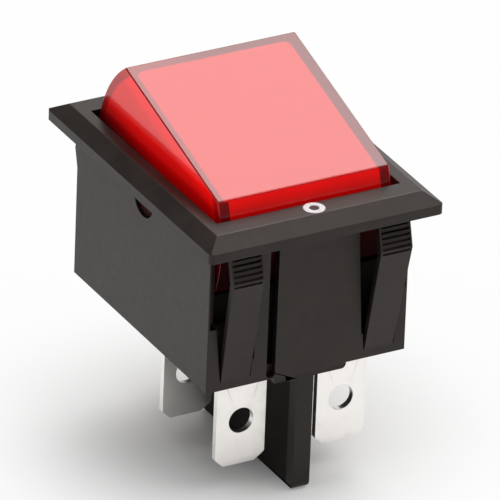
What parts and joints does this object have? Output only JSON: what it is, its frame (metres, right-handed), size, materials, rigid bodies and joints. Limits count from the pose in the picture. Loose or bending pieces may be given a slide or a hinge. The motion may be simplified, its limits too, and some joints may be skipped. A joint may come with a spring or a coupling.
{
  "type": "panel rocker switch",
  "caption": "Snap-in panel rocker switch, lit, on and off, with a red rocker in a black bezel and blade terminals below.",
  "frame": {"origin": "centre of the panel cut-out, on the underside of the bezel", "axes": "+Z out of the panel towards the user, -Y towards the end with the off mark, X along the rocker's pivot"},
  "size_m": [0.0296, 0.0392, 0.0443],
  "materials": {
    "black_nylon": "moulded, fine satin texture",
    "red_lens": "translucent red, glossy",
    "spring_steel": "drawn wire",
    "ivory_acetal": "moulded, smooth",
    "copper_alloy": "stamped, bare",
    "silver_alloy": "turned, bright",
    "tinned_brass": "stamped, tin plated",
    "lamp_glass": "clear, smooth",
    "resistor_body": "lacquered"
  },
  "bodies": {
    "housing": {"housing": "black_nylon", "terminal_front_left": "tinned_brass", "terminal_front_right": "tinned_brass", "terminal_centre_left": "tinned_brass", "terminal_centre_right": "tinned_brass", "fixed_contact_left": "silver_alloy", "fixed_contact_right": "silver_alloy", "lamp_strip_left": "copper_alloy", "lamp_strip_right": "copper_alloy"},
    "rocker": {"rocker_cap": "red_lens", "plunger_spring_left": "spring_steel", "plunger_spring_right": "spring_steel", "neon_lamp": "lamp_glass", "lamp_resistor": "resistor_body", "lamp_lead_left": "tinned_brass", "lamp_lead_right": "tinned_brass", "lamp_spring_left": "spring_steel", "lamp_spring_right": "spring_steel"},
    "blade_left": {"blade_left": "copper_alloy", "moving_contact_left": "silver_alloy"},
    "plunger_left": {"plunger_left": "ivory_acetal"},
    "blade_right": {"blade_right": "copper_alloy", "moving_contact_right": "silver_alloy"},
    "plunger_right": {"plunger_right": "ivory_acetal"}
  },
  "joints": [
    {"name": "rocker_tilt", "type": "hinge", "parent": "housing", "child": "rocker", "pos_m": [0, 0, -0.0014], "axis": [-1, 0, 0], "range_deg": [0, 32]},
    {"name": "blade_left_tilt", "type": "hinge", "parent": "housing", "child": "blade_left", "pos_m": [-0.0064, 0, -0.01316], "axis": [1, 0, 0], "range_deg": [0, 14]},
    {"name": "plunger_left_slide", "type": "slide", "parent": "rocker", "child": "plunger_left", "axis": [0, -0.2756, 0.9613], "range_m": [0, 0.0008], "stiffness_N_per_m": 300, "springref_m": -0.002, "deforming": ["plunger_spring_left"]},
    {"name": "blade_right_tilt", "type": "hinge", "parent": "housing", "child": "blade_right", "pos_m": [0.0064, 0, -0.01316], "axis": [1, 0, 0], "range_deg": [0, 14]},
    {"name": "plunger_right_slide", "type": "slide", "parent": "rocker", "child": "plunger_right", "axis": [0, -0.2756, 0.9613], "range_m": [0, 0.0008], "stiffness_N_per_m": 300, "springref_m": -0.002, "deforming": ["plunger_spring_right"]}
  ],
  "couplings": [
    {"joint": "blade_left_tilt", "follows": "rocker_tilt", "ratio": 0.4375},
    {"joint": "blade_right_tilt", "follows": "rocker_tilt", "ratio": 0.4375}
  ]
}
